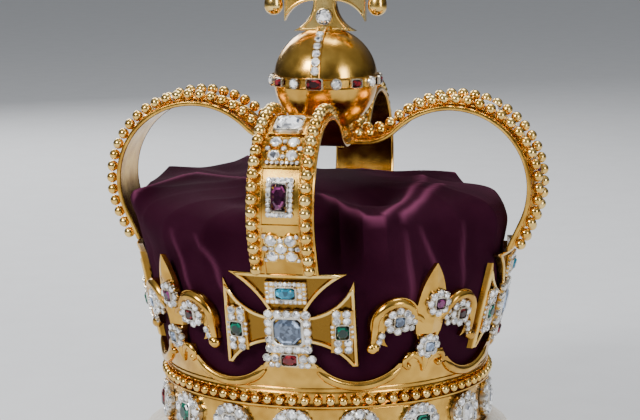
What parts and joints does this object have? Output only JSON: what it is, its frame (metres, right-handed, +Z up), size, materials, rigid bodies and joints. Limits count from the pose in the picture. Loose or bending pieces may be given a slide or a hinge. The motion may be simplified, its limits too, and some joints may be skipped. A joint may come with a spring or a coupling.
{
  "type": "arched crown",
  "caption": "Gold arched crown with crosses, fleurs-de-lis, beaded half arches, globe and cross, set stones, velvet cap and fur trim; worn on the head.",
  "frame": {"origin": "centre of the crown's axis on the plane that the fur trim rests on", "axes": "+Z up the crown's axis to the top cross, -Y towards the front cross, +X to the crown's right in the front view"},
  "size_m": [0.2828, 0.2828, 0.3426],
  "materials": {
    "gold": "polished gold",
    "velvet": "dark purple velvet",
    "fur": "white fur",
    "white_stone": "clear cut stone",
    "blue_stone": "pale blue cut stone",
    "green_stone": "green cut stone",
    "red_stone": "red cut stone",
    "purple_stone": "purple cut stone",
    "pearl": "pearly drop"
  },
  "bodies": {
    "root": {"circlet": "gold", "rim_beads": "gold", "circlet_mounts": "white_stone", "circlet_stones": "green_stone", "cross_front": "gold", "cross_right": "gold", "cross_back": "gold", "cross_left": "gold", "stone_front_centre": "blue_stone", "stone_front_top": "blue_stone", "stone_front_left": "green_stone", "stone_front_right": "green_stone", "stone_front_bottom": "red_stone", "stone_right_centre": "blue_stone", "stone_right_top": "blue_stone", "stone_right_left": "green_stone", "stone_right_right": "green_stone", "stone_right_bottom": "red_stone", "stone_back_centre": "blue_stone", "stone_back_top": "blue_stone", "stone_back_left": "green_stone", "stone_back_right": "green_stone", "stone_back_bottom": "red_stone", "stone_left_centre": "blue_stone", "stone_left_top": "blue_stone", "stone_left_left": "green_stone", "stone_left_right": "green_stone", "stone_left_bottom": "red_stone", "fleur_1": "gold", "fleur_2": "gold", "fleur_3": "gold", "fleur_4": "gold", "fleur_stones_1": "purple_stone", "fleur_stones_2": "purple_stone", "fleur_stones_3": "purple_stone", "fleur_stones_4": "purple_stone", "arch_front": "gold", "arch_right": "gold", "arch_back": "gold", "arch_left": "gold", "arch_beads_front": "gold", "arch_beads_right": "gold", "arch_beads_back": "gold", "arch_beads_left": "gold", "arch_stones_front": "white_stone", "arch_stones_right": "white_stone", "arch_stones_back": "white_stone", "arch_stones_left": "white_stone", "crossing": "gold", "monde": "gold", "monde_stones": "red_stone", "strap_stones": "white_stone", "top_cross": "gold", "top_cross_stones": "white_stone", "drop_left": "pearl", "drop_right": "pearl", "cap": "velvet", "ermine": "fur"}
  },
  "joints": []
}
